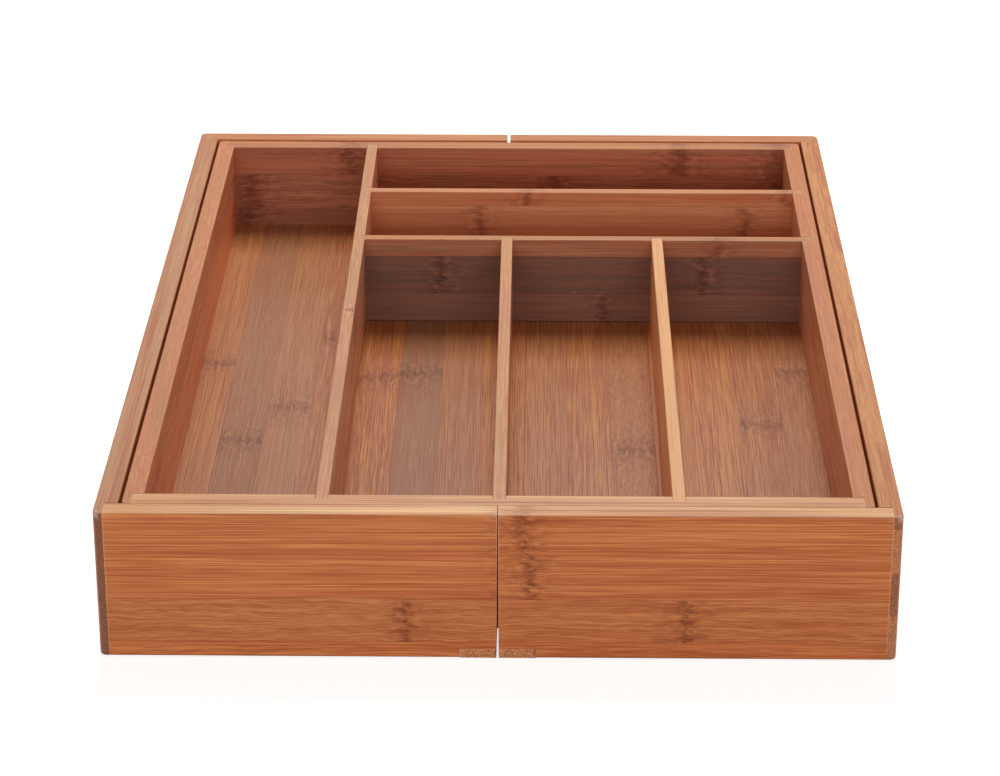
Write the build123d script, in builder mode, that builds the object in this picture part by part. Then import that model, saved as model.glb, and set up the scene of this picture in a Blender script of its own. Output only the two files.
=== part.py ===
from build123d import *

import os

# A bamboo cutlery tray that grows sideways. An inner tray with six compartments sits in an outer
# sleeve. The sleeve is split at the middle into a left and a right half, and each half slides
# outwards on short runners. X is the width, Y runs from front to back and Z is up. The origin is
# at the middle of the underside, and the tray is closed.

# Sizes of the closed tray, in millimetres as everything here.
closed_width = 330.0
depth = 455.0
height = 66.0

# Sizes of the two halves of the sleeve.
outer_board = 9.5
corner_lip = 4.0
corner_round_share = 0.75
half_floor_board = 4.0
half_floor_tongue = 4.0
batten_width = 15.2
batten_board = 4.1
front_split_top = 0.3
back_split_top = 1.4
split_bottom = 0.9

# Clearances between the inner tray and the halves.
side_clearance = 1.2
front_clearance = 0.6
back_clearance = 1.4
floor_clearance = 0.3
rim_drop = 0.5

# Sizes of the inner tray. The floor's rise is measured from the lower edge of the walls.
side_wall = 8.5
end_wall = 9.5
tray_lip = 4.0
tray_round_share = 0.6
floor_rise = 8.1
tray_floor_board = 5.0
tray_housing = 4.3

# Sizes and places of the dividers. The shares are those of the first three columns in the clear
# width of all four, and the last column takes the rest.
divider_board = 5.5
divider_housing = 2.5
column_shares = (0.2565, 0.2455, 0.2485)
rear_row = 60.0
middle_row = 60.0

# Sizes of the runners on the tray and of their grooves in the halves. The stop is the wood that
# is left between the end of a groove and the split.
runner_length = 15.0
runner_height = 5.0
runner_socket = 3.0
runner_tongue = 3.4
runner_inset = 1.5
runner_level = 34.0
groove_clearance = 0.25
stop_board = 8.15
stop_clearance = 0.2

# Rounding of the edges that the hand meets, and of the dividers' thinner ones.
arris = 0.7
divider_arris = 0.5

# Places that follow from these sizes, on the sleeve.
sleeve_x = closed_width / 2
sleeve_y = depth / 2
sleeve_inner_x = sleeve_x - outer_board
sleeve_inner_y = sleeve_y - outer_board
panel_end_x = sleeve_x - corner_lip
half_floor_top = batten_board + half_floor_board
split_x = split_bottom / 2
batten_x = split_x + batten_width

# Places on the inner tray.
tray_x = sleeve_inner_x - side_clearance
tray_front = front_clearance - sleeve_inner_y
tray_back = sleeve_inner_y - back_clearance
tray_bottom = half_floor_top + floor_clearance
tray_rim = height - rim_drop
tray_inner_x = tray_x - side_wall
tray_inner_front = tray_front + end_wall
tray_inner_back = tray_back - end_wall
wall_end_x = tray_x - tray_lip
tray_floor_bottom = tray_bottom + floor_rise
tray_floor_top = tray_floor_bottom + tray_floor_board
compartment_depth = tray_rim - tray_floor_top
floor_levels = (tray_floor_bottom, tray_floor_top)
divider_levels = (tray_floor_top, tray_rim)

# The spans of the dividers: across the width for those that run from front to back, and along
# the depth for those that run across.
column_room = tray_inner_x * 2 - divider_board * len(column_shares)


def column_divider_spans():
    """Return the span in X of each divider that stands between two columns."""
    spans = []
    left = -tray_inner_x
    for share in column_shares:
        left += share * column_room
        spans.append((left, left + divider_board))
        left += divider_board
    return spans


long_span, short_left_span, short_right_span = column_divider_spans()
rear_cross_span = (tray_inner_back - rear_row - divider_board, tray_inner_back - rear_row)
front_cross_back = rear_cross_span[0] - middle_row
front_cross_span = (front_cross_back - divider_board, front_cross_back)

# The runners, at rest near the ends of the tray, and the travel that the grooves leave them.
runner_outer_x = wall_end_x - runner_inset
runner_inner_x = runner_outer_x - runner_length
runner_levels = (runner_level - runner_height / 2, runner_level + runner_height / 2)
groove_levels = (runner_levels[0] - groove_clearance, runner_levels[1] + groove_clearance)
groove_bottom_y = sleeve_inner_y + runner_tongue + groove_clearance
groove_end_x = split_x + stop_board
travel = runner_inner_x - groove_end_x - stop_clearance


def middle_and_size(span):
    """Return the middle and the length of a span."""
    return (span[0] + span[1]) / 2, abs(span[1] - span[0])


def draw_rectangle(x_span, y_span):
    """Draw the rectangle that reaches over two spans, in the sketch that is open."""
    middle_x, size_x = middle_and_size(x_span)
    middle_y, size_y = middle_and_size(y_span)
    with Locations((middle_x, middle_y)):
        Rectangle(size_x, size_y)


def cut_block(x_span, y_span, z_span):
    """Cut the block that reaches over three spans out of the part that is open."""
    middle_x, size_x = middle_and_size(x_span)
    middle_y, size_y = middle_and_size(y_span)
    middle_z, size_z = middle_and_size(z_span)
    with Locations((middle_x, middle_y, middle_z)):
        Box(size_x, size_y, size_z, mode=Mode.SUBTRACT)


def make_board(x_span, y_span, z_span):
    """Make a plain square-edged board."""
    with BuildPart() as board:
        with BuildSketch(Plane.XY.offset(z_span[0])):
            draw_rectangle(x_span, y_span)
        extrude(amount=z_span[1] - z_span[0])
    return board


# The sleeve. In each function side is -1 for the left half and 1 for the right half.


def make_side_panel(side):
    """Make a half's side panel: rabbeted for the end panels, grooved for the floor."""
    with BuildPart() as panel:
        with BuildSketch() as plan:
            draw_rectangle((side * sleeve_x, side * sleeve_inner_x), (-sleeve_y, sleeve_y))
            outer_corners = plan.vertices().filter_by(lambda corner: side * corner.X > panel_end_x)
            fillet(outer_corners, radius=corner_lip * corner_round_share)
        extrude(amount=height)
        fillet(panel.edges().group_by(Axis.Z)[-1], radius=arris)
        fillet(panel.edges().group_by(Axis.Z)[0], radius=arris)
        rabbet_x = (side * panel_end_x, side * sleeve_inner_x)
        cut_block(rabbet_x, (-sleeve_y, -sleeve_inner_y), (0, height))
        cut_block(rabbet_x, (sleeve_inner_y, sleeve_y), (0, height))
        groove_x = (side * sleeve_inner_x, side * (sleeve_inner_x + half_floor_tongue))
        cut_block(groove_x, (-sleeve_inner_y, sleeve_inner_y), (batten_board, half_floor_top))
    return panel


def make_end_panel(side, end, split_top):
    """Make a half's front panel, where end is -1, or its back panel, where end is 1.

    The end at the split leans a little, so the gap is split_top wide at the top.
    """
    inner_y, outer_y = sorted((end * sleeve_inner_y, end * sleeve_y))
    with BuildPart() as panel:
        with BuildSketch(Plane.XZ.offset(-inner_y)):
            with BuildLine():
                Polyline(
                    (side * panel_end_x, 0),
                    (side * split_x, 0),
                    (side * split_top / 2, height),
                    (side * panel_end_x, height),
                    close=True,
                )
            make_face()
        extrude(amount=inner_y - outer_y)
        fillet(panel.edges().filter_by(Axis.X), radius=arris)
        tongue_y = (end * sleeve_inner_y, end * (sleeve_inner_y + half_floor_tongue))
        cut_block((side * panel_end_x, 0), tongue_y, (batten_board, half_floor_top))
        cut_block((side * batten_x, 0), (inner_y, outer_y), (0, batten_board))
        groove_x = (side * panel_end_x, side * groove_end_x)
        cut_block(groove_x, (end * sleeve_inner_y, end * groove_bottom_y), groove_levels)
    return panel


def make_half_floor(side):
    """Make a half's floor, which is held in the grooves of its three panels."""
    tongue_x = sleeve_inner_x + half_floor_tongue
    tongue_y = sleeve_inner_y + half_floor_tongue
    x_span = (side * tongue_x, side * split_x)
    return make_board(x_span, (-tongue_y, tongue_y), (batten_board, half_floor_top))


def make_tie_batten(side):
    """Make the flat strip that ties a half's front to its back along the free edge."""
    x_span = (side * batten_x, side * split_x)
    return make_board(x_span, (-sleeve_y, sleeve_y), (0, batten_board))


# The inner tray.


def make_tray_side_wall(side, divider_spans):
    """Make a side wall of the tray, with a housing for each cross divider that ends in it."""
    with BuildPart() as wall:
        with BuildSketch(Plane.XY.offset(tray_bottom)) as plan:
            draw_rectangle((side * tray_x, side * tray_inner_x), (tray_front, tray_back))
            outer_corners = plan.vertices().filter_by(lambda corner: side * corner.X > wall_end_x)
            fillet(outer_corners, radius=tray_lip * tray_round_share)
        extrude(amount=tray_rim - tray_bottom)
        fillet(wall.edges().group_by(Axis.Z)[-1], radius=arris)
        rabbet_x = (side * wall_end_x, side * tray_inner_x)
        cut_block(rabbet_x, (tray_front, tray_inner_front), (tray_bottom, tray_rim))
        cut_block(rabbet_x, (tray_inner_back, tray_back), (tray_bottom, tray_rim))
        housing_x = (side * tray_inner_x, side * (tray_inner_x + tray_housing))
        cut_block(housing_x, (tray_inner_front, tray_inner_back), floor_levels)
        for span in divider_spans:
            cut_block(housing_x, span, divider_levels)
    return wall


def make_tray_end_wall(end, divider_spans):
    """Make the tray's front wall, where end is -1, or its back wall, where end is 1."""
    inner_y, outer_y = (tray_inner_front, tray_front) if end < 0 else (tray_inner_back, tray_back)
    with BuildPart() as wall:
        with BuildSketch(Plane.XY.offset(tray_bottom)):
            draw_rectangle((-wall_end_x, wall_end_x), (inner_y, outer_y))
        extrude(amount=tray_rim - tray_bottom)
        fillet(wall.edges().filter_by(Axis.X).group_by(Axis.Z)[-1], radius=arris)
        housing_y = (inner_y, inner_y + end * tray_housing)
        cut_block((-wall_end_x, wall_end_x), housing_y, floor_levels)
        for span in divider_spans:
            cut_block(span, housing_y, divider_levels)
        for side in (-1, 1):
            socket_x = (side * runner_inner_x, side * runner_outer_x)
            cut_block(socket_x, (outer_y - end * runner_socket, outer_y), runner_levels)
    return wall


def make_tray_floor():
    """Make the tray's floor, which is held in grooves on all four sides."""
    x_edge = tray_inner_x + tray_housing
    y_span = (tray_inner_front - tray_housing, tray_inner_back + tray_housing)
    return make_board((-x_edge, x_edge), y_span, floor_levels)


def make_long_divider():
    """Make the full-depth divider, housed on its right face for the two cross dividers."""
    with BuildPart() as divider:
        with BuildSketch(Plane.XY.offset(tray_floor_top)):
            draw_rectangle(long_span, (tray_inner_front - tray_housing, tray_inner_back + tray_housing))
        extrude(amount=compartment_depth)
        fillet(divider.edges().filter_by(Axis.Y).group_by(Axis.Z)[-1], radius=divider_arris)
        for span in (rear_cross_span, front_cross_span):
            cut_block((long_span[1] - divider_housing, long_span[1]), span, divider_levels)
    return divider


def make_cross_divider(y_span, short_divider_spans):
    """Make a divider from the long one to the right wall, housed on its front face."""
    with BuildPart() as divider:
        with BuildSketch(Plane.XY.offset(tray_floor_top)):
            draw_rectangle((long_span[1] - divider_housing, tray_inner_x + tray_housing), y_span)
        extrude(amount=compartment_depth)
        fillet(divider.edges().filter_by(Axis.X).group_by(Axis.Z)[-1], radius=divider_arris)
        for span in short_divider_spans:
            cut_block(span, (y_span[0], y_span[0] + divider_housing), divider_levels)
    return divider


def make_short_divider(x_span):
    """Make a divider from the tray's front wall to the front cross divider."""
    with BuildPart() as divider:
        with BuildSketch(Plane.XY.offset(tray_floor_top)):
            back_y = front_cross_span[0] + divider_housing
            draw_rectangle(x_span, (tray_inner_front - tray_housing, back_y))
        extrude(amount=compartment_depth)
        fillet(divider.edges().filter_by(Axis.Y).group_by(Axis.Z)[-1], radius=divider_arris)
    return divider


def make_runner(side, end):
    """Make a runner: glued in the tray's end wall, its tongue is free in the half's groove."""
    wall_y = tray_front if end < 0 else tray_back
    y_span = (wall_y - end * runner_socket, end * (sleeve_inner_y + runner_tongue))
    return make_board((side * runner_inner_x, side * runner_outer_x), y_span, runner_levels)


pieces = {
    "tray_front_wall": make_tray_end_wall(-1, (long_span, short_left_span, short_right_span)),
    "tray_back_wall": make_tray_end_wall(1, (long_span,)),
    "tray_left_wall": make_tray_side_wall(-1, ()),
    "tray_right_wall": make_tray_side_wall(1, (rear_cross_span, front_cross_span)),
    "tray_floor": make_tray_floor(),
    "long_divider": make_long_divider(),
    "rear_cross_divider": make_cross_divider(rear_cross_span, ()),
    "front_cross_divider": make_cross_divider(front_cross_span, (short_left_span, short_right_span)),
    "short_divider_left": make_short_divider(short_left_span),
    "short_divider_right": make_short_divider(short_right_span),
}
for side_name, side in (("left", -1), ("right", 1)):
    pieces[f"{side_name}_side_panel"] = make_side_panel(side)
    pieces[f"{side_name}_front_panel"] = make_end_panel(side, -1, front_split_top)
    pieces[f"{side_name}_back_panel"] = make_end_panel(side, 1, back_split_top)
    pieces[f"{side_name}_floor"] = make_half_floor(side)
    pieces[f"{side_name}_tie_batten"] = make_tie_batten(side)
    pieces[f"guide_runner_front_{side_name}"] = make_runner(side, -1)
    pieces[f"guide_runner_back_{side_name}"] = make_runner(side, 1)

os.makedirs("parts", exist_ok=True)
for name, piece in pieces.items():
    piece.part.label = name
    export_step(piece.part, f"parts/{name}.step")

print(f"{len(pieces)} pieces, and each half slides out {travel:.1f} mm")
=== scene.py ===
# %% [markdown]
# # A bamboo cutlery tray, from bare boards to a finished picture
#
# The tray is joinery: flat boards of laminated bamboo, glued into rabbets and housings. An inner
# tray with six compartments sits in a sleeve, and the sleeve's left and right halves slide out
# sideways. The boards come as exact solids, one object each, at their real size in metres. X is
# the width, Y runs from front to back and Z is up.
#
# Nothing here is soft or bent, so the shapes stay as they are. The work is in what the eye reads
# as bamboo: long fibres, glued strips, the darker knuckles that cross a strip, dotted end grain,
# eased edges and a thin satin lacquer, under the light of a plain studio.

# %% Load the boards
import math
import random

import bpy
from mathutils import Euler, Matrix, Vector


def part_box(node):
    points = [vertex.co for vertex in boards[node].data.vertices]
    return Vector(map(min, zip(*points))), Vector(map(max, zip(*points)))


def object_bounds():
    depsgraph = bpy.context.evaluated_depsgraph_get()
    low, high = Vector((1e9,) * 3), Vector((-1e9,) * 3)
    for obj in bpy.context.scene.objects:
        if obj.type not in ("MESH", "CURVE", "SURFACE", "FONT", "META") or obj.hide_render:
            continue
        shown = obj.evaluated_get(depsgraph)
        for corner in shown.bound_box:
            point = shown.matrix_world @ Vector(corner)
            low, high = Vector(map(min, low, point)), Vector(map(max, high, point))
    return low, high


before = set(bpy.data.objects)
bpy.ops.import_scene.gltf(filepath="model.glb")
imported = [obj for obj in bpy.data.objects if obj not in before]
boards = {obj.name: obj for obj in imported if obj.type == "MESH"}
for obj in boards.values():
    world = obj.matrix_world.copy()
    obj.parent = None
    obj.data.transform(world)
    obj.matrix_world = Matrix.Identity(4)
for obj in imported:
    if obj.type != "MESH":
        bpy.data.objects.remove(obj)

cad_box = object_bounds()
size = cad_box[1] - cad_box[0]
print(f"{len(boards)} boards, {size.x:.3f} by {size.y:.3f} by {size.z:.3f} m")

# %% [markdown]
# ## Colours as they are seen
#
# A colour is easiest to judge as it appears on a screen, from 0 to 255. Shaders work in linear
# light, so each colour is written the first way and converted once.


# %% Convert a screen colour
def paint(red, green, blue):
    """Return a screen colour, 0 to 255, as linear red, green, blue and alpha."""
    shares = [level / 255 for level in (red, green, blue)]
    linear = [s / 12.92 if s <= 0.04045 else ((s + 0.055) / 1.055) ** 2.4 for s in shares]
    return (*linear, 1.0)


white = paint(255, 255, 255)
print(f"the middle grey of a screen is {paint(128, 128, 128)[0]:.2f} of white in linear light")

# %% [markdown]
# ## The camera
#
# The picture is taken from the front, well above the tray, through a long lens: the sides lean in
# only a little, and all six compartments can be looked into. The place and the pitch follow from
# where the tray's corners fall in a frame of 1000 by 776.

# %% Place the camera
camera_place = (0.0159, -1.3782, 0.6443)
camera_pitch = math.radians(24.38)
camera_turn = math.radians(0.74)
lens_mm = 114.2

camera_data = bpy.data.cameras.new("camera")
camera_data.lens = lens_mm
camera_data.clip_start = 0.05
camera = bpy.data.objects.new("camera", camera_data)
camera.location = camera_place
camera.rotation_euler = (math.pi / 2 - camera_pitch, 0, camera_turn)
bpy.context.scene.collection.objects.link(camera)
bpy.context.scene.camera = camera
print(f"camera {Vector(camera_place).length:.2f} m from the tray, {lens_mm} mm lens")

# %% [markdown]
# ## Shader trees, one node at a time
#
# A material is a tree of small nodes. It could be wired by hand in the shader editor, but bamboo
# needs a few hundred of them. These helpers put a node in a tree and connect it, so that each
# recipe below reads like the arithmetic that it is. A source is either a socket to link or a
# plain value to set.


# %% Put a node in a tree
def put(tree, kind, *sources, **settings):
    """Add a shader node with its settings, and link or set its inputs in order."""
    node = tree.nodes.new("ShaderNode" + kind)
    for name, value in settings.items():
        setattr(node, name, value)
    sockets = [socket for socket in node.inputs if socket.enabled]
    for socket, source in zip(sockets, sources):
        join(tree, source, socket)
    return node


def join(tree, source, socket):
    """Link a socket to the source, or set it when the source is a plain value."""
    if source is None:
        return
    if isinstance(source, bpy.types.NodeSocket):
        tree.links.new(source, socket)
    else:
        socket.default_value = source


# %% Nodes that every recipe uses
def reckon(tree, operation, *values):
    """Add a Math node and return its result."""
    return put(tree, "Math", *values, operation=operation).outputs[0]


def ramp_between(tree, value, low, high, to_low=0.0, to_high=1.0):
    """Return the value eased from one range to another, and held at its ends."""
    node = put(tree, "MapRange", value, low, high, to_low, to_high)
    node.interpolation_type = "SMOOTHSTEP"
    return node.outputs[0]


def mix_colours(tree, share, first, second, blend="MIX"):
    """Return a mix of two colours."""
    node = put(tree, "Mix", share, first, second, data_type="RGBA", blend_type=blend)
    return node.outputs[2]


def noise_at(tree, along, across, through, detail=2.0, roughness=0.5):
    """Return cloudy noise at a place whose three parts are given separately."""
    place = put(tree, "CombineXYZ", along, across, through).outputs[0]
    node = put(tree, "TexNoise", place, noise_dimensions="3D")
    node.inputs["Scale"].default_value = 1.0
    node.inputs["Detail"].default_value = detail
    node.inputs["Roughness"].default_value = roughness
    return node.outputs[0]


# %% Groups that every board shares
def new_group(name, inputs, outputs):
    """Make a shader node group and return it with its inner input and output sockets."""
    group = bpy.data.node_groups.new(name, "ShaderNodeTree")
    for title, kind, value in inputs:
        socket = group.interface.new_socket(title, in_out="INPUT", socket_type="NodeSocket" + kind)
        if value is not None:
            socket.default_value = value
    for title, kind in outputs:
        group.interface.new_socket(title, in_out="OUTPUT", socket_type="NodeSocket" + kind)
    given = group.nodes.new("NodeGroupInput").outputs
    result = group.nodes.new("NodeGroupOutput").inputs
    return group, given, result


def use_group(tree, group, **sources):
    """Place a group in a tree. Each source goes to the input of its name."""
    node = put(tree, "Group", node_tree=group)
    for title, source in sources.items():
        join(tree, source, node.inputs[title.replace("_", " ").capitalize()])
    return node.outputs


# %% [markdown]
# ## Strips
#
# A bamboo board is glued from strips about 20 mm wide. They could be cut as real pieces, but a
# glue line is far too fine for that, so they are drawn. The place in a board is measured in
# millimetres, with X along the fibres, Y across the strips and Z through the thickness. From it
# this group works out the number of the strip and how far the nearest glue line is.

# %% Build the strip group
strip_width = 20.0
strip_inputs = [("Place", "Vector", None), ("Strip", "Float", strip_width), ("Zero", "Float", 0.0)]
strip_outputs = [("Number", "Float"), ("To seam", "Float")]
strips, given, result = new_group("bamboo_strips", strip_inputs, strip_outputs)
across = put(strips, "SeparateXYZ", given["Place"]).outputs[1]
from_zero = reckon(strips, "SUBTRACT", across, given["Zero"])
strip_place = reckon(strips, "DIVIDE", from_zero, given["Strip"])
join(strips, reckon(strips, "FLOOR", strip_place), result["Number"])
in_strip = reckon(strips, "FRACT", strip_place)
to_seam = reckon(strips, "MINIMUM", in_strip, reckon(strips, "SUBTRACT", 1.0, in_strip))
join(strips, reckon(strips, "MULTIPLY", to_seam, given["Strip"]), result["To seam"])
print("bamboo_strips has", len(strips.nodes), "nodes")

# %% [markdown]
# ## The grain group
#
# One group grows the wood of every board, and each board gives it colours and a seed of its own.
# The tone and the coolness of each strip come in as the red and green of one colour. Its blue says
# how flat the strip was cut. Two masks, the core and the halo, say where a knuckle is. Out come a
# colour, a roughness, a height for the relief, and a mask of where sandpaper bites.

# %% Open the grain group
grain_inputs = [
    ("Place", "Vector", None),
    ("Number", "Float", 0.0),
    ("To seam", "Float", 5.0),
    ("Strip look", "Color", (0.5, 0.0, 0.2, 1.0)),
    ("Seed", "Float", 0.0),
    ("Contrast", "Float", 1.0),
    ("Hair share", "Float", 0.36),
    ("End", "Float", 0.0),
    ("Core", "Float", 0.0),
    ("Halo", "Float", 0.0),
    ("Haze", "Float", 0.15),
    ("Light", "Color", None),
    ("Dark", "Color", None),
    ("Red", "Color", None),
    ("Cool", "Color", None),
    ("Thread", "Color", None),
    ("End light", "Color", None),
    ("End dark", "Color", None),
]
grain_outputs = [("Colour", "Color"), ("Roughness", "Float"), ("Height", "Float"), ("Sanded", "Float")]
grain, given, result = new_group("bamboo_grain", grain_inputs, grain_outputs)
along, across, through = put(grain, "SeparateXYZ", given["Place"]).outputs
strip_tone, strip_cool, strip_flat = put(grain, "SeparateColor", given["Strip look"]).outputs
print("the grain group takes", len(grain_inputs), "inputs")

# %% [markdown]
# ### Fibres
#
# Each strip is a bundle of fibres. On a long face they are streaks a millimetre or so wide and
# longer than a hand. Drawing each one would take thousands of lines, so all of it is noise that is
# stretched a long way along X. No two strips or boards may match, so the noise jumps from one to
# the next. Flat-cut bamboo shows shorter, finer and wavier fibres, and beside a knuckle they ripple.
# All lengths and widths are in millimetres.

# %% Bend and stretch the fibres
jump_per_board = 3.17
jump_per_strip = 7.31
wave_length = 90
wave_width = 12
shorter_when_flat = 4.0
finer_when_flat = 0.8
wavier_when_flat = 4.5
ripple_size = 4.2


def centred(noise, size):
    """Return noise as a swing of a size either way of nothing."""
    return reckon(grain, "MULTIPLY", reckon(grain, "SUBTRACT", noise, 0.5), size)


def patches_of(length, width, detail=1.0, sideways=across):
    """Return noise with patches of a length and a width in millimetres."""
    place = [reckon(grain, "MULTIPLY", along, 1 / length)]
    place += [reckon(grain, "MULTIPLY", part, 1 / width) for part in (sideways, through)]
    return noise_at(grain, *place, detail)


board_shift = reckon(grain, "MULTIPLY", given["Seed"], jump_per_board)
strip_shift = reckon(grain, "MULTIPLY_ADD", given["Number"], jump_per_strip, board_shift)
run = reckon(grain, "MULTIPLY_ADD", strip_flat, shorter_when_flat, 1.0)
run = reckon(grain, "MULTIPLY", along, run)
fineness = reckon(grain, "MULTIPLY_ADD", strip_flat, finer_when_flat, 1.0)
wave_size = reckon(grain, "MULTIPLY_ADD", strip_flat, wavier_when_flat, 1.0)
wave_along = reckon(grain, "MULTIPLY_ADD", run, 1 / wave_length, strip_shift)
wave_across = reckon(grain, "MULTIPLY", across, 1 / wave_width)
wave = centred(noise_at(grain, wave_along, wave_across, given["Seed"], 1.0), wave_size)
ripple = reckon(grain, "MULTIPLY", centred(patches_of(6, 2.2), ripple_size), given["Halo"])
fibre_across = reckon(grain, "ADD", across, reckon(grain, "ADD", wave, ripple))
fibre_across = reckon(grain, "MULTIPLY", fibre_across, fineness)


def fibres(length, width, detail=1.0):
    """Return fibre noise with streaks of a length and a width in millimetres."""
    return noise_at(
        grain,
        reckon(grain, "MULTIPLY_ADD", run, 1 / length, strip_shift),
        reckon(grain, "MULTIPLY_ADD", fibre_across, 1 / width, strip_shift),
        reckon(grain, "MULTIPLY", through, 1 / width),
        detail,
    )


# %% Hairs, streaks and bands
hairs = ramp_between(grain, fibres(30, 0.40), 0.30, 0.70)
streaks = ramp_between(grain, fibres(130, 1.1, 2.0), 0.34, 0.66)
bands = ramp_between(grain, fibres(260, 4.5), 0.30, 0.70)
blush = ramp_between(grain, fibres(300, 2.4), 0.44, 0.62)
print("the fibres take", len(grain.nodes), "nodes")

# %% [markdown]
# ### Dark threads
#
# Every millimetre or so runs a crisp dark thread, which comes and goes. Noise alone is too soft for
# it, so the threads are a zigzag across the fibres, bent by noise. They lie slanted in the board,
# so that its upper edge shows them too, and a flat-cut strip has next to none.

# %% Draw the threads
thread_pitch = 1.3
thread_slant = 0.9
thread_bend = 4.0
fainter_when_flat = 0.9
bent_across = reckon(grain, "ADD", fibre_across, centred(fibres(200, 6), thread_bend))
thread_place = reckon(grain, "MULTIPLY_ADD", through, thread_slant, bent_across)
thread_share = reckon(grain, "PINGPONG", reckon(grain, "DIVIDE", thread_place, thread_pitch), 0.5)
threads = ramp_between(grain, thread_share, 0.04, 0.28, 1.0, 0.0)
comes_and_goes = ramp_between(grain, fibres(80, 1.6), 0.36, 0.62)
threads = reckon(grain, "MULTIPLY", threads, comes_and_goes)
stays = reckon(grain, "MULTIPLY_ADD", strip_flat, -fainter_when_flat, 1.0)
threads = reckon(grain, "MULTIPLY", threads, stays)
print(f"about {strip_width / thread_pitch:.0f} threads to a strip")

# %% [markdown]
# ### The colour of a long face
#
# Hairs, streaks and bands add up to one tone, which leads from a dark brown to a light one. Some
# fibres are redder than their neighbours, some strips are greyer as a whole, and the threads and
# the glue lines are the darkest.

# %% Work out the tone of the fibres
band_share = 0.24
streaks_and_hairs = 1 - band_share
tone_swing = 1.25
bolder_when_flat = 0.8
streak_share = reckon(grain, "SUBTRACT", streaks_and_hairs, given["Hair share"])
tone = reckon(grain, "MULTIPLY", hairs, given["Hair share"])
tone = reckon(grain, "MULTIPLY_ADD", streaks, streak_share, tone)
tone = centred(reckon(grain, "MULTIPLY_ADD", bands, band_share, tone), tone_swing)
boldness = reckon(grain, "MULTIPLY_ADD", strip_flat, bolder_when_flat, 1.0)
tone = reckon(grain, "MULTIPLY", tone, boldness)
tone = reckon(grain, "MULTIPLY", tone, given["Contrast"])
tone = put(grain, "Clamp", reckon(grain, "ADD", tone, strip_tone)).outputs[0]
print(f"the tone is {band_share:.0%} bands, and the rest is streaks and hairs")

# %% Colour the fibres
blush_share = 0.45
thread_strength = 0.40
most_thread = 0.50
seam_share = 0.35
colour = mix_colours(grain, tone, given["Dark"], given["Light"])
colour = mix_colours(grain, reckon(grain, "MULTIPLY", blush, blush_share), colour, given["Red"])
cool_share = reckon(grain, "MULTIPLY_ADD", tone, 0.5, 0.5)
cool_tone = mix_colours(grain, cool_share, given["Dark"], given["Cool"])
colour = mix_colours(grain, strip_cool, colour, cool_tone)
thread_depth = reckon(grain, "MULTIPLY", given["Contrast"], thread_strength)
thread_depth = reckon(grain, "MINIMUM", thread_depth, most_thread)
thread_depth = reckon(grain, "MULTIPLY", threads, thread_depth)
colour = mix_colours(grain, thread_depth, colour, given["Thread"])
seam = ramp_between(grain, given["To seam"], 0.05, 0.28, 1.0, 0.0)
colour = mix_colours(grain, reckon(grain, "MULTIPLY", seam, seam_share), colour, given["Thread"])
print("the long faces take", len(grain.nodes), "nodes")

# %% [markdown]
# ### The stain of a knuckle, and scuffs
#
# A knuckle stains the wood around it in patches, some dusky and some sunny. Its core is a haze with
# a ragged row of dark specks. Here and there a speck of the lacquer is scuffed pale.

# %% Stain the knuckles and scuff the lacquer
dusk = paint(196, 178, 190)
core_stain = paint(154, 132, 142)
scuffed = paint(236, 196, 158)
sunny_share = 0.35
scuff_share = 0.32
ragged_share = 0.8
patches = patches_of(5.0, 2.4)
dusky_patches = ramp_between(grain, patches, 0.36, 0.64, 0.15, 0.85)
dusky_patches = reckon(grain, "MULTIPLY", given["Halo"], dusky_patches)
colour = mix_colours(grain, dusky_patches, colour, dusk, "MULTIPLY")
sunny_patches = reckon(grain, "MULTIPLY", given["Halo"], ramp_between(grain, patches, 0.50, 0.34))
sunny_patches = reckon(grain, "MULTIPLY", sunny_patches, sunny_share)
colour = mix_colours(grain, sunny_patches, colour, given["Light"])
ragged = reckon(grain, "MULTIPLY_ADD", ripple, ragged_share, across)
specks = ramp_between(grain, patches_of(2.8, 0.55, sideways=ragged), 0.46, 0.62)
speckled = reckon(grain, "SUBTRACT", 1.0, given["Haze"])
core_share = reckon(grain, "MULTIPLY_ADD", specks, speckled, given["Haze"])
core_share = reckon(grain, "MULTIPLY", given["Core"], core_share)
colour = mix_colours(grain, core_share, colour, core_stain, "MULTIPLY")
scuffs = ramp_between(grain, patches_of(1.6, 1.1, detail=0.0), 0.88, 0.92)
colour = mix_colours(grain, reckon(grain, "MULTIPLY", scuffs, scuff_share), colour, scuffed)
print("with knuckles and scuffs", len(grain.nodes), "nodes")

# %% [markdown]
# ### End grain
#
# Cut across, the fibres are dots: dark cells in a paler net. Voronoi cells look just like them, and
# they are stretched along the board, as the fibres are.

# %% Draw the end grain
cell_size = 0.70
cell_stretch = 0.05
cell_part = 0.65
hair_part = 0.35
tone_gain = 2.0
least_tone = 0.10
cells_along = reckon(grain, "MULTIPLY", along, cell_stretch)
cell_place = put(grain, "CombineXYZ", cells_along, across, through).outputs[0]
cells = put(grain, "TexVoronoi", cell_place, voronoi_dimensions="3D", feature="F1")
cells.inputs["Scale"].default_value = 1 / cell_size
cells = ramp_between(grain, cells.outputs["Distance"], 0.18, 0.78)
end_tone = reckon(grain, "MULTIPLY", cells, cell_part)
end_tone = reckon(grain, "MULTIPLY_ADD", hairs, hair_part, end_tone)
end_gain = reckon(grain, "MULTIPLY_ADD", strip_tone, tone_gain, least_tone)
end_tone = reckon(grain, "MULTIPLY", end_tone, end_gain)
end_colour = mix_colours(grain, end_tone, given["End dark"], given["End light"])
colour = mix_colours(grain, given["End"], colour, end_colour)
join(grain, colour, result["Colour"])
print(f"cells of {cell_size} mm in the end grain")

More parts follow.
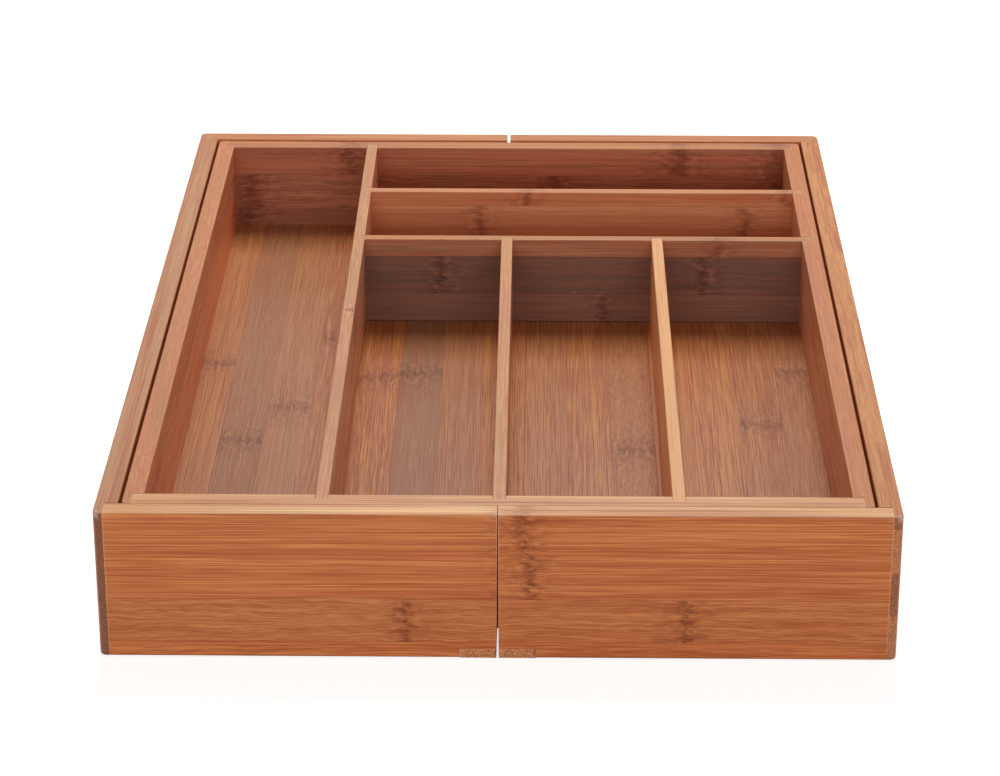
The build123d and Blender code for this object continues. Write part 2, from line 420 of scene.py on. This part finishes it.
# %% [markdown]
# ### Sheen, relief and sanding
#
# Dark fibres, knuckle cores and end grain drink the lacquer, so they are duller. The relief only
# has to catch the light: threads, glue lines and specks lie a little low, streaks and the net of the
# end grain a little high. Sandpaper bites the broad bands first, and a knuckle resists it.

# %% Set the sheen
dullness = 0.46
shinier_where_light = 0.10
duller_in_core = 0.10
duller_on_end = 0.14
roughness = reckon(grain, "MULTIPLY_ADD", tone, -shinier_where_light, dullness)
roughness = reckon(grain, "MULTIPLY_ADD", given["Core"], duller_in_core, roughness)
roughness = reckon(grain, "MULTIPLY_ADD", given["End"], duller_on_end, roughness)
join(grain, roughness, result["Roughness"])
print(f"roughness {dullness - shinier_where_light:.2f} on the palest wood, {dullness} on the darkest")

# %% Raise the relief
streak_rise = 0.4
end_net_rise = 0.5
dent = -0.6
pits = reckon(grain, "MULTIPLY", given["Core"], specks)
end_net = reckon(grain, "MULTIPLY", given["End"], cells)
height = reckon(grain, "MULTIPLY", threads, dent)
for mask, rise in ((streaks, streak_rise), (seam, dent), (pits, dent), (end_net, end_net_rise)):
    height = reckon(grain, "MULTIPLY_ADD", mask, rise, height)
join(grain, height, result["Height"])
print(f"threads, glue lines and specks lie {-dent} of the relief low")

# %% Mask what sandpaper bites
band_bite = 0.55
streak_bite = 0.45
knuckle_resistance = 0.7
sanded = reckon(grain, "MULTIPLY", streaks, streak_bite)
sanded = reckon(grain, "MULTIPLY_ADD", bands, band_bite, sanded)
softness = reckon(grain, "MULTIPLY_ADD", given["Halo"], -knuckle_resistance, 1.0)
join(grain, reckon(grain, "MULTIPLY", sanded, softness), result["Sanded"])
print("bamboo_grain has", len(grain.nodes), "nodes")

# %% [markdown]
# ## Knuckles
#
# A bamboo cane is closed by a wall at each knuckle, every 20 to 40 cm, and every strip cut from
# it keeps the mark: a narrow line of specks across that one strip, in a wider stained haze. A
# knuckle therefore belongs to a strip and has a place along it. The group gives two masks, a core
# that reaches about 2 mm either way and a halo of about 8 mm. They could be painted on a picture of
# the board, but a bell curve along the strip does the same, and its place is just one point. A
# board with several knuckles takes the strongest of each mask.

# %% Build the knuckle group
reaches = {"Core": 2.0, "Halo": 8.0}
knuckle_inputs = [
    ("Place", "Vector", None),
    ("Unevenness", "Float", 0.0),
    ("Along", "Float", 0.0),
    ("Across", "Float", 0.0),
    ("Width", "Float", strip_width),
    ("Spread", "Float", 1.0),
    ("Stain", "Float", 0.75),
    ("Core before", "Float", 0.0),
    ("Halo before", "Float", 0.0),
]
knuckle_outputs = [("Core", "Float"), ("Halo", "Float")]
knuckle, given, result = new_group("bamboo_knuckle", knuckle_inputs, knuckle_outputs)
place = put(knuckle, "SeparateXYZ", given["Place"]).outputs
away_across = reckon(knuckle, "SUBTRACT", place[1], given["Across"])
away_along = reckon(knuckle, "SUBTRACT", place[0], given["Along"])
away_along = reckon(knuckle, "ADD", away_along, given["Unevenness"])
half_width = reckon(knuckle, "MULTIPLY", given["Width"], 0.5)
inwards = reckon(knuckle, "SUBTRACT", half_width, reckon(knuckle, "ABSOLUTE", away_across))
in_this_strip = ramp_between(knuckle, inwards, -0.2, 0.3)
for name, reach in reaches.items():
    share = reckon(knuckle, "DIVIDE", away_along, reckon(knuckle, "MULTIPLY", given["Spread"], reach))
    squared = reckon(knuckle, "MULTIPLY", share, share)
    bell = reckon(knuckle, "EXPONENT", reckon(knuckle, "MULTIPLY", squared, -1.0))
    mask = reckon(knuckle, "MULTIPLY", reckon(knuckle, "MULTIPLY", bell, in_this_strip), given["Stain"])
    join(knuckle, reckon(knuckle, "MAXIMUM", mask, given[name + " before"]), result[name])
print("bamboo_knuckle has", len(knuckle.nodes), "nodes")

# %% [markdown]
# ## Eased and handled edges, with painted highlight and shade
#
# Every board has its sharp corners taken off with sandpaper, and there the lacquer is thin and the wood
# paler. The paler edges and corners are also painted highlight, the glint that a rounded edge catches
# from the lamps. A bevel would do it in the mesh, but the boards keep theirs, so it is coloured.
# The board is a box, so the distance to its edges is plain arithmetic: near an edge two of the three
# distances to its faces are small at once, and at a corner all three. The foot of a board on edge is
# darker: painted contact shade where it meets what it stands on, with some dust and glue. On a flat
# board the same mask darkens one long side with painted shade, where it is hidden in a groove or against
# a wall.

# %% Build the edge group
corner_reach = 3.4
waviness = 0.5
edge_inputs = [
    ("Place", "Vector", None),
    ("Half size", "Vector", None),
    ("Reach", "Float", 0.7),
]
edge_outputs = [("Edge", "Float"), ("Corner", "Float"), ("Foot", "Float")]
edges, given, result = new_group("eased_edges", edge_inputs, edge_outputs)
from_middle = put(edges, "VectorMath", given["Place"], operation="ABSOLUTE").outputs[0]
to_faces = put(edges, "VectorMath", given["Half size"], from_middle, operation="SUBTRACT").outputs[0]
gap_x, gap_y, gap_z = put(edges, "SeparateXYZ", to_faces).outputs
# The foot mask marks where painted contact shade and some dirt darken a board.
from_foot = put(edges, "VectorMath", given["Place"], given["Half size"], operation="ADD").outputs[0]
from_foot = put(edges, "SeparateXYZ", from_foot).outputs[1]
above_foot = ramp_between(edges, from_foot, 1.0, 4.0)
join(edges, ramp_between(edges, from_foot, 0.25, 0.90, 1.0, 0.0), result["Foot"])

nearer = reckon(edges, "MINIMUM", gap_x, gap_y)
farther = reckon(edges, "MAXIMUM", gap_x, gap_y)
second_gap = reckon(edges, "MAXIMUM", nearer, reckon(edges, "MINIMUM", farther, gap_z))
patchy = put(edges, "TexNoise", given["Place"], noise_dimensions="3D")
patchy.inputs["Scale"].default_value = 0.35
wavy_gap = reckon(edges, "ADD", second_gap, waviness / 2)
wavy_gap = reckon(edges, "MULTIPLY_ADD", patchy.outputs[0], -waviness, wavy_gap)
edge = ramp_between(edges, wavy_gap, 0.0, given["Reach"], 1.0, 0.0)
join(edges, reckon(edges, "MULTIPLY", edge, above_foot), result["Edge"])

third_gap = reckon(edges, "MAXIMUM", farther, gap_z)
corner = ramp_between(edges, third_gap, 1.0, corner_reach, 1.0, 0.0)
join(edges, reckon(edges, "MULTIPLY", corner, above_foot), result["Corner"])
print("eased_edges has", len(edges.nodes), "nodes")

# %% [markdown]
# ## How a board lies
#
# The fibres always run along a board, so each board's pattern is turned the way the board lies. A
# Mapping node of the kind Texture undoes the board's place, turn and scale: with a scale of one
# millimetre it gives the place in the board in millimetres.

# %% The three ways a board can lie
millimetre = 0.001
quarter = math.pi / 2
edge_x = "along X, on edge"
edge_y = "along Y, on edge"
flat_y = "along Y, flat"
turns = {
    edge_x: Euler((quarter, 0, 0)),
    edge_y: Euler((quarter, 0, quarter)),
    flat_y: Euler((0, 0, quarter)),
}


def lie_of(name):
    """Say how a board lies."""
    if "floor" in name or "batten" in name:
        return flat_y
    if name in ("tray_front_wall", "tray_back_wall"):
        return edge_x
    if any(word in name for word in ("front_panel", "back_panel", "cross", "runner")):
        return edge_x
    return edge_y


def board_frame(name, lie):
    """Return a board's middle in metres, and its half size in millimetres along its own axes."""
    low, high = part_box(name)
    turned = turns[lie].to_matrix().inverted() @ ((high - low) / 2)
    half = Vector(abs(part) for part in turned) / millimetre
    return (low + high) / 2, half


def place_in_board(point, name, lie):
    """Return a point, given in millimetres of the tray, in the board's own millimetres."""
    middle, _ = board_frame(name, lie)
    return turns[lie].to_matrix().inverted() @ (Vector(point) - middle / millimetre)


for lie in turns:
    print(sum(lie_of(name) == lie for name in boards), "boards lie", lie)

# %% [markdown]
# ## A material for each board
#
# The boards share one recipe, but no two pieces of bamboo look alike. Each board has its own
# seed, its own strips and its own knuckles. The steps of the recipe come first, then the recipe.

# %% The looks of the strips
strips_of_flat_board = 18
strips_of_board_on_edge = 4


def drawn_looks(seed, count):
    """Draw a tone, a coolness and a flatness of the cut for each strip of a board at random."""
    draw = random.Random(seed)
    looks = []
    for _ in range(count):
        looks.append((draw.uniform(0.38, 0.62), draw.uniform(0, 0.4), draw.uniform(0, 0.3)))
    return looks


def strip_looks(tree, number, first, looks):
    """Return the look of a strip as a colour: red is its tone, green its coolness, blue its flatness."""
    ramp = put(tree, "ValToRGB")
    ramp.color_ramp.interpolation = "CONSTANT"
    stops = ramp.color_ramp.elements
    stops.remove(stops[1])
    for index, (tone, cool, flat) in enumerate(looks):
        stop = stops[0] if index == 0 else stops.new(index / len(looks))
        stop.color = (tone, cool, flat, 1)
    middle_of_strip = reckon(tree, "ADD", number, 0.5 - first)
    join(tree, reckon(tree, "DIVIDE", middle_of_strip, len(looks)), ramp.inputs[0])
    return ramp.outputs[0]


# %% The knuckles of a board
unevenness = 7.0
unevenness_grain = (0.02, 0.25, 0.25)


def knuckle_masks(tree, place, spots, zero, spread, stain):
    """Return the core and the halo of all the knuckles of a board."""
    if not spots:
        return 0.0, 0.0
    stretched = put(tree, "VectorMath", place, unevenness_grain, operation="MULTIPLY").outputs[0]
    rough = put(tree, "TexNoise", stretched)
    rough.inputs["Scale"].default_value = 1.0
    uneven = reckon(tree, "MULTIPLY", reckon(tree, "SUBTRACT", rough.outputs[0], 0.5), unevenness)
    core, halo = 0.0, 0.0
    for spot in spots:
        number = math.floor((spot.y - zero) / strip_width)
        masks = use_group(
            tree,
            knuckle,
            place=place,
            unevenness=uneven,
            along=spot.x,
            across=zero + (number + 0.5) * strip_width,
            width=strip_width,
            spread=spread,
            stain=stain,
            core_before=core,
            halo_before=halo,
        )
        core, halo = masks["Core"], masks["Halo"]
    return core, halo


# %% The wear of a board, with painted highlight at its edges and painted shade at its foot
foot_shade_and_dirt_colour = paint(120, 100, 90)
eased_share = 0.40
foot_shade_and_dirt_share = 0.60
least_rim_share = 0.08
rim_share_where_sanded = 0.80
facing_from = 0.6
facing_full = 0.95


def paint_light_by_facing_and_sand(tree, colour, normal, sanded, behind, rim):
    """Return the colour with the side that faces the back lifted out of painted shade, and the upper
    edge painted paler for sanding and for the light on the tops.
    """
    _, backwards, upwards = put(tree, "SeparateXYZ", normal).outputs
    # The side that faces the back is lifted out of the painted shade that the finish gives the front.
    if behind:
        share = ramp_between(tree, backwards, facing_from, facing_full)
        colour = mix_colours(tree, share, colour, (*behind, 1.0), "MULTIPLY")
    # The upper edge is painted paler: partly sanding, partly painted light from the lamp above and the
    # sheen of the tops.
    if rim:
        on_top = ramp_between(tree, upwards, facing_from, facing_full)
        share = reckon(tree, "MULTIPLY_ADD", sanded, rim_share_where_sanded, least_rim_share)
        share = reckon(tree, "MULTIPLY", share, on_top)
        colour = mix_colours(tree, share, colour, paint(*rim))
    return colour


def paint_edge_wear_light_and_shade(tree, colour, place, half, finish, corner_wear_and_glint):
    """Return the colour with eased edges and corners painted paler, for wear and as painted highlight,
    and a foot darkened with painted contact shade and dirt.
    """
    edge_wear_and_light = use_group(tree, edges, place=place, half_size=half)
    # Eased edges are painted paler: partly wear, partly painted highlight.
    eased = reckon(tree, "MULTIPLY", edge_wear_and_light["Edge"], eased_share)
    colour = mix_colours(tree, eased, colour, finish["edge_wear_and_light"])
    # Corners are painted paler still: partly wear, partly a painted glint.
    corner_wear_and_glint_share = reckon(tree, "MULTIPLY", edge_wear_and_light["Corner"], corner_wear_and_glint)
    colour = mix_colours(tree, corner_wear_and_glint_share, colour, finish["corner_wear_and_glint"])
    # The foot is darkened with painted contact shade, and some dust and glue.
    foot_shade_and_dirt = reckon(tree, "MULTIPLY", edge_wear_and_light["Foot"], foot_shade_and_dirt_share)
    return mix_colours(tree, foot_shade_and_dirt, colour, foot_shade_and_dirt_colour, "MULTIPLY")


# %% The lacquer
relief_strength = 0.5
relief_metres = 0.00010
shine = {"Specular IOR Level": 0.16, "Coat Weight": 0.05, "Coat Roughness": 0.30}


def lacquer(tree, shader, colour, roughness, height):
    """Give the shader the wood's colour, sheen and relief under a thin satin lacquer."""
    tree.links.new(colour, shader.inputs["Base Color"])
    tree.links.new(roughness, shader.inputs["Roughness"])
    bump = put(tree, "Bump")
    bump.inputs["Strength"].default_value = relief_strength
    bump.inputs["Distance"].default_value = relief_metres
    tree.links.new(height, bump.inputs["Height"])
    tree.links.new(bump.outputs[0], shader.inputs["Normal"])
    for title, value in shine.items():
        shader.inputs[title].default_value = value


# %% The recipe of a board
def bamboo(
    name,
    lie,
    finish,
    seed,
    seam,
    looks=None,
    contrast=1.25,
    hair_share=0.36,
    knuckles=(),
    spread=1.0,
    stain=0.75,
    haze=0.15,
    rim=None,
    corner_wear_and_glint=0.1,
    behind=None,
):
    """Give a board its own bamboo.

    The seam is the glue line before the first strip: its height on a board on edge, or its X on a flat
    board. The looks of the strips run from the bottom up, or from left to right. Knuckles are points.
    All are in millimetres of the closed tray. A knuckle's spread is wider where the strips are cut flat,
    its stain is how dark it is, and its haze is how evenly. The rim is the colour towards which the
    upper edge is painted paler: partly sanding, partly painted light on the tops. A share for the
    corners says how pale they are painted, for wear and for the glint they catch. Behind holds the
    shares of red, green and blue at which the side that faces the back is coloured: it lifts the painted
    shade that the finish gives the front of the board.
    """
    middle, half = board_frame(name, lie)
    material = bpy.data.materials.new(name + "_bamboo")
    material.use_nodes = True
    tree = material.node_tree
    shader = tree.nodes["Principled BSDF"]
    where = put(tree, "TexCoord").outputs
    turn = turns[lie]
    scale = (millimetre, millimetre, millimetre)
    mapping = put(tree, "Mapping", where["Object"], middle, turn, scale, vector_type="TEXTURE")
    place = mapping.outputs[0]
    turned = put(tree, "Mapping", where["Normal"], (0, 0, 0), turn, vector_type="TEXTURE")
    facing = put(tree, "SeparateXYZ", turned.outputs[0]).outputs[0]
    end = ramp_between(tree, reckon(tree, "ABSOLUTE", facing), 0.6, 0.85)

    # Across a flat board Y runs from right to left, so its looks are turned round.
    count = strips_of_flat_board if lie == flat_y else strips_of_board_on_edge
    looks = looks or drawn_looks(seed, count)
    first = 0
    if lie == flat_y:
        looks = looks[::-1]
        first = -len(looks)
    zero = place_in_board((seam, 0, seam), name, lie).y
    strip_at = use_group(tree, strips, place=place, strip=strip_width, zero=zero)
    spots = [place_in_board(point, name, lie) for point in knuckles]
    core, halo = knuckle_masks(tree, place, spots, zero, spread, stain)
    grown = use_group(
        tree,
        grain,
        place=place,
        number=strip_at["Number"],
        to_seam=strip_at["To seam"],
        strip_look=strip_looks(tree, strip_at["Number"], first, looks),
        seed=seed,
        contrast=contrast,
        hair_share=hair_share,
        end=end,
        core=core,
        halo=halo,
        haze=haze,
        **finish["fibres"],
    )
    colour = paint_light_by_facing_and_sand(tree, grown["Colour"], where["Normal"], grown["Sanded"], behind, rim)
    colour = paint_edge_wear_light_and_shade(tree, colour, place, half, finish, corner_wear_and_glint)
    lacquer(tree, shader, colour, grown["Roughness"], grown["Height"])
    slots = boards[name].data.materials
    slots.clear()
    slots.append(material)


# %% [markdown]
# ## The finishes
#
# All the bamboo is steamed brown, but each board came from another cane. The outer panels are the most
# orange. The ten other finishes could be mixed colour by colour, but as shares of this first one they
# stay a family, and a change of it reaches them all. The floor is a little duller, with some greyer
# strips. The dividers and side walls inside stand in each other's red shade, and their finishes are made
# paler and less red, each for the light on the side it shows: painted light that lifts their shade. The
# tray's back wall and the front cross divider are the darkest: their fronts face away from the light,
# and their finishes are darkened partly as painted shade of those fronts and partly for browner canes.

# %% The finishes of the boards
outer = {
    "fibres": {
        "light": paint(225, 141, 83),
        "dark": paint(179, 95, 52),
        "red": paint(200, 106, 66),
        "cool": paint(188, 130, 86),
        "thread": paint(142, 66, 36),
        "end_light": paint(200, 131, 89),
        "end_dark": paint(120, 73, 51),
    },
    # These two colours stand for wear, and also for painted highlight on the eased edges and a painted
    # glint on the corners.
    "edge_wear_and_light": paint(236, 178, 134),
    "corner_wear_and_glint": paint(226, 200, 182),
}


def stained(red_share, green_share, blue_share, **changes):
    """Return the outer finish with its red, green and blue at a share, and some colours changed."""
    shares = (red_share, green_share, blue_share, 1.0)
    fibres = {}
    for name, colour in outer["fibres"].items():
        fibres[name] = tuple(part * share for part, share in zip(colour, shares))
    fibres.update(changes)
    return {"fibres": fibres, "edge_wear_and_light": outer["edge_wear_and_light"], "corner_wear_and_glint": outer["corner_wear_and_glint"]}


floor_finish = stained(0.79, 0.90, 0.84, red=paint(180, 107, 70), cool=paint(149, 111, 81))
side_left = stained(0.96, 1.00, 1.10, end_light=paint(156, 105, 78), end_dark=paint(114, 71, 50))
# The inner, walls, wall_left, wall_long and pale finishes are made paler and less red, each to lift the
# shade on the side it shows: painted light.
inner = stained(1.06, 1.30, 1.85)
# The ruddy and dusky finishes are darker, partly as painted shade of fronts that face away from the
# light.
ruddy = stained(0.84, 0.92, 1.45, dark=paint(140, 82, 60))
walls = stained(1.20, 1.60, 2.30)
wall_left = stained(1.38, 1.48, 1.95)
wall_long = stained(1.38, 1.98, 3.00)
pale = stained(1.37, 1.94, 2.50)
batten_finish = stained(0.95, 1.00, 1.00, end_light=paint(222, 148, 94), end_dark=paint(96, 54, 36))
dusky = stained(0.78, 0.86, 1.30, dark=paint(116, 83, 69), cool=paint(114, 92, 84))
print("the finishes share", len(outer["fibres"]), "fibre colours")

# %% [markdown]
# ## Every board in turn
#
# A board is described by its finish, the place of one glue line, the looks of its strips and its
# knuckles. A look is a tone from dark to light, a coolness and a flatness of the cut. One material
# for all would look like printed paper. Boards that are seldom seen get no note of their own, and
# their looks are drawn at random.

# %% The colours of the sanded upper edges, which also paint the light on the tops
peach = (255, 206, 142)
sand = (248, 193, 134)
tan = (197, 137, 77)
gold = (214, 149, 82)
rust = (188, 106, 34)
straw = (230, 169, 106)
honey = (198, 146, 102)
amber = (204, 132, 50)
umber = (172, 116, 62)
print("the palest of the nine edge colours is peach,", peach)

# %% The boards of the sleeve
front_y = -227.5
notes = {
    "left_front_panel": {
        "seam": -12.7,
        "looks": [(0.51, 0.0, 0.35), (0.51, 0.25, 0.70), (0.60, 0.0, 0.02), (0.58, 0.05, 0.0)],
        "knuckles": [(-38, front_y, 17), (4, front_y, 56), (4, front_y, 36)],
        "hair_share": 0.44,
        "rim": peach,
    },
    "right_front_panel": {
        "seam": -12.7,
        "looks": [(0.43, 0.0, 0.3), (0.40, 0.20, 0.60), (0.52, 0.05, 0.05), (0.54, 0.0, 0.03)],
        "knuckles": [(11, front_y, 56), (13, front_y, 36), (77.5, front_y, 17)],
        "hair_share": 0.44,
        "spread": 1.2,
        "rim": peach,
    },
    "left_back_panel": {"rim": tan},
    "right_back_panel": {"rim": tan},
    "left_side_panel": {
        "seam": -17,
        "finish": side_left,
        "knuckles": [(-160, 139, 60)],
        "looks": [
            (0.40, 0.20, 0.10),
            (0.42, 0.20, 0.10),
            (0.36, 0.30, 0.20),
            (0.34, 0.35, 0.10),
            (0.38, 0.40, 0.10),
        ],
        "contrast": 2.3,
        "rim": honey,
        "corner_wear_and_glint": 0.6,
    },
    "right_side_panel": {
        "seam": -19.5,
        "looks": [
            (0.70, 0.10, 0.10),
            (0.68, 0.10, 0.10),
            (0.27, 0.10, 0.10),
            (0.76, 0.10, 0.10),
            (0.20, 0.15, 0.50),
        ],
        "knuckles": [(160, 154, 60), (160, -182, 60)],
        "stain": 1.0,
        "rim": gold,
        "corner_wear_and_glint": 0.6,
    },
}
print("notes on", len(notes), "boards")

# %% The tray's other walls and dividers that the light falls on
notes["tray_front_wall"] = {"seam": 5, "rim": sand}
notes["tray_left_wall"] = {
    "seam": -12,
    "finish": wall_left,
    "looks": [(0.78, 0.1, 0.1)] * 3 + [(0.42, 0.3, 0.4)],
    "contrast": 1.9,
    "rim": umber,
}
notes["tray_right_wall"] = {
    "seam": -12,
    "finish": walls,
    "looks": [(0.40, 0.1, 0.1)] * 3 + [(0.36, 0.1, 0.2)],
    "contrast": 2.0,
    "rim": rust,
}
notes["long_divider"] = {
    "seam": 7,
    "finish": wall_long,
    "knuckles": [(-72.5, -14, 60)],
    "stain": 1.0,
    "contrast": 2.2,
    "rim": umber,
}
notes["short_divider_left"] = {
    "seam": 5,
    "finish": walls,
    "knuckles": [(0.5, -4, 60)],
    "stain": 1.0,
    "contrast": 2.0,
    "rim": tan,
}
notes["short_divider_right"] = {
    "seam": 5,
    "finish": pale,
    "looks": [(0.80, 0.0, 0.1)] * 4,
    "contrast": 1.8,
    "rim": straw,
}
print("notes on", len(notes), "boards")

# %% The floor, from left to right
floor_top = 21.5
notes["tray_floor"] = {
    "seam": -150,
    "finish": floor_finish,
    "looks": [
        (0.96, 0.34, 0.05),
        (0.37, 0.70, 0.12),
        (0.80, 0.44, 0.05),
        (0.42, 0.25, 0.10),
        (0.31, 0.00, 0.12),
        (0.22, 0.80, 0.20),
        (0.46, 0.40, 0.05),
        (1.15, 0.00, 0.10),
        (0.40, 0.25, 0.05),
        (0.41, 0.12, 0.05),
        (0.29, 0.34, 0.90),
        (1.00, 0.00, 0.05),
        (0.60, 0.05, 0.05),
        (0.50, 0.20, 0.10),
        (0.26, 0.40, 0.20),
    ],
    "knuckles": [
        (-139, 23, floor_top),
        (-101, -27, floor_top),
        (-121, -64, floor_top),
        (-87, 55, floor_top),
        (-44, 13, floor_top),
        (-60, 8, floor_top),
        (63, -72, floor_top),
        (139, 15, floor_top),
        (122, -44, floor_top),
    ],
    "contrast": 2.1,
    "hair_share": 0.58,
    "spread": 2.2,
    "stain": 0.60,
}
print("the floor has", len(notes["tray_floor"]["looks"]), "strips")

# %% The boards of the tray that face away from the light
notes["tray_back_wall"] = {
    "seam": -10,
    "finish": ruddy,
    "spread": 2.4,
    "stain": 0.60,
    "haze": 0.6,
    "contrast": 0.6,
    "looks": [(0.06, 0.40, 0.2), (0.08, 0.40, 0.05), (0.36, 0.3, 0.9), (0.53, 0.0, 0.05)],
    # The knuckles at -140, -137 and 143 sit at the ends of the board with an even haze: they are painted
    # shade in the corners, not marks of the cane.
    "knuckles": [
        (-140, 207, 20),
        (-137, 207, 42),
        (-84, 207, 60),
        (90, 207, 60),
        (25, 207, 45),
        (143, 207, 45),
        (143, 207, 60),
    ],
    "rim": amber,
    # Behind lifts the back of this board out of the painted shade that its finish gives the front.
    "behind": (1.30, 1.12, 0.78),
}
notes["rear_cross_divider"] = {
    "seam": 18,
    "finish": inner,
    "spread": 1.1,
    "stain": 0.6,
    "haze": 0.4,
    "contrast": 0.6,
    "looks": [(0.36, 0.2, 0.1), (0.84, 0.22, 0.2), (0.36, 0.0, 0.1)],
    # The knuckle at 142 sits at the right end: painted shade in the corner, not a mark of the cane.
    "knuckles": [(-14, 141, 50), (10, 141, 62), (122, 141, 50), (142, 141, 62)],
    "rim": gold,
}
notes["front_cross_divider"] = {
    "seam": 16.5,
    "finish": dusky,
    "spread": 1.1,
    "stain": 0.6,
    "haze": 0.25,
    "contrast": 0.6,
    "looks": [(0.45, 0.60, 0.05), (0.04, 0.60, 0.5), (0.61, 0.0, 0.1)],
    "knuckles": [(105, 76, 60), (98, 76, 46), (49, 76, 30), (-32, 76, 46)],
    "rim": amber,
    # Behind lifts the back of this board out of the painted shade that its finish gives the front.
    "behind": (2.0, 1.85, 1.5),
}
print("notes on", len(notes), "boards")

# %% Finish every board
for number, name in enumerate(sorted(boards)):
    lie = lie_of(name)
    note = {"seam": -5, "finish": outer}
    if lie == flat_y:
        note = {"seam": -180, "finish": batten_finish if "batten" in name else floor_finish}
    note.update(notes.get(name, {}))
    bamboo(name, lie, seed=number + 1.0, **note)
print(len(boards), "boards finished,", len(notes), "of them from notes")

# %% [markdown]
# ## The studio
#
# A large soft lamp hangs over the tray and behind it, so each wall throws a short soft shadow
# forwards. A second, wide lamp stands before the tray, a little above it, for the front panels and
# the inner walls that face them. A dim sky fills the rest. The white background could come from
# more light, but that would wash out the wood. Instead the sky and the floor are white only for
# the camera and for reflections.


# %% A mask of the rays that only look
def looking_rays(tree):
    """Return 1 for camera, glossy and transmission rays, and 0 for the rays that light things."""
    rays = put(tree, "LightPath").outputs
    looking = reckon(tree, "MAXIMUM", rays["Is Camera Ray"], rays["Is Glossy Ray"])
    return reckon(tree, "MAXIMUM", looking, rays["Is Transmission Ray"])


# %% The sky
sky_light = 0.18
world = bpy.data.worlds.new("studio")
bpy.context.scene.world = world
world.use_nodes = True
tree = world.node_tree
background = tree.nodes["Background"]
background.inputs["Color"].default_value = white
strength = put(tree, "MapRange", looking_rays(tree), 0.0, 1.0, sky_light, 1.0).outputs[0]
tree.links.new(strength, background.inputs["Strength"])
print(f"the sky lights at {sky_light} of what it shows")


# %% The lamps
def soft_lamp(name, place, target, width, height, power):
    """Hang a rectangular lamp that faces a target."""
    data = bpy.data.lights.new(name, "AREA")
    data.shape = "RECTANGLE"
    data.size = width
    data.size_y = height
    data.energy = power
    lamp = bpy.data.objects.new(name, data)
    lamp.location = place
    lamp.rotation_euler = (Vector(target) - Vector(place)).to_track_quat("-Z", "Y").to_euler()
    bpy.context.scene.collection.objects.link(lamp)
    return lamp


in_the_tray = (0, 0, 0.03)
lamp_watts = 28.0
soft_lamp("behind_the_tray", (0.03, 1.10, 1.60), in_the_tray, 0.6, 1.05, lamp_watts)
fill = soft_lamp("before_the_tray", (0.05, -2.6, 0.7), in_the_tray, 1.4, 0.8, lamp_watts)
fill.visible_glossy = False
print("two lamps of", lamp_watts, "W each")

# %% The floor
floor_width = 8
gap_below_tray = 0.0004
floor_paint = paint(228, 228, 228)
floor_glow = 0.74
bpy.ops.object.select_all(action="DESELECT")
bpy.ops.mesh.primitive_plane_add(size=floor_width, location=(0, 0, -gap_below_tray))
floor = bpy.context.object
floor.name = "studio_floor"
floor_material = bpy.data.materials.new("studio_floor")
floor_material.use_nodes = True
tree = floor_material.node_tree
shader = tree.nodes["Principled BSDF"]
shader.inputs["Base Color"].default_value = floor_paint
shader.inputs["Roughness"].default_value = 1.0
shader.inputs["Specular IOR Level"].default_value = 0.0
shader.inputs["Emission Color"].default_value = white
glow = reckon(tree, "MULTIPLY", looking_rays(tree), floor_glow)
tree.links.new(glow, shader.inputs["Emission Strength"])
floor.data.materials.append(floor_material)
print(f"a floor {floor_width} m wide, {gap_below_tray * 1000} mm below the tray")

bpy.context.scene.view_settings.view_transform = "Standard"

# %% [markdown]
# ## The end

# %% Say that the scene is done
print("the scene is done")
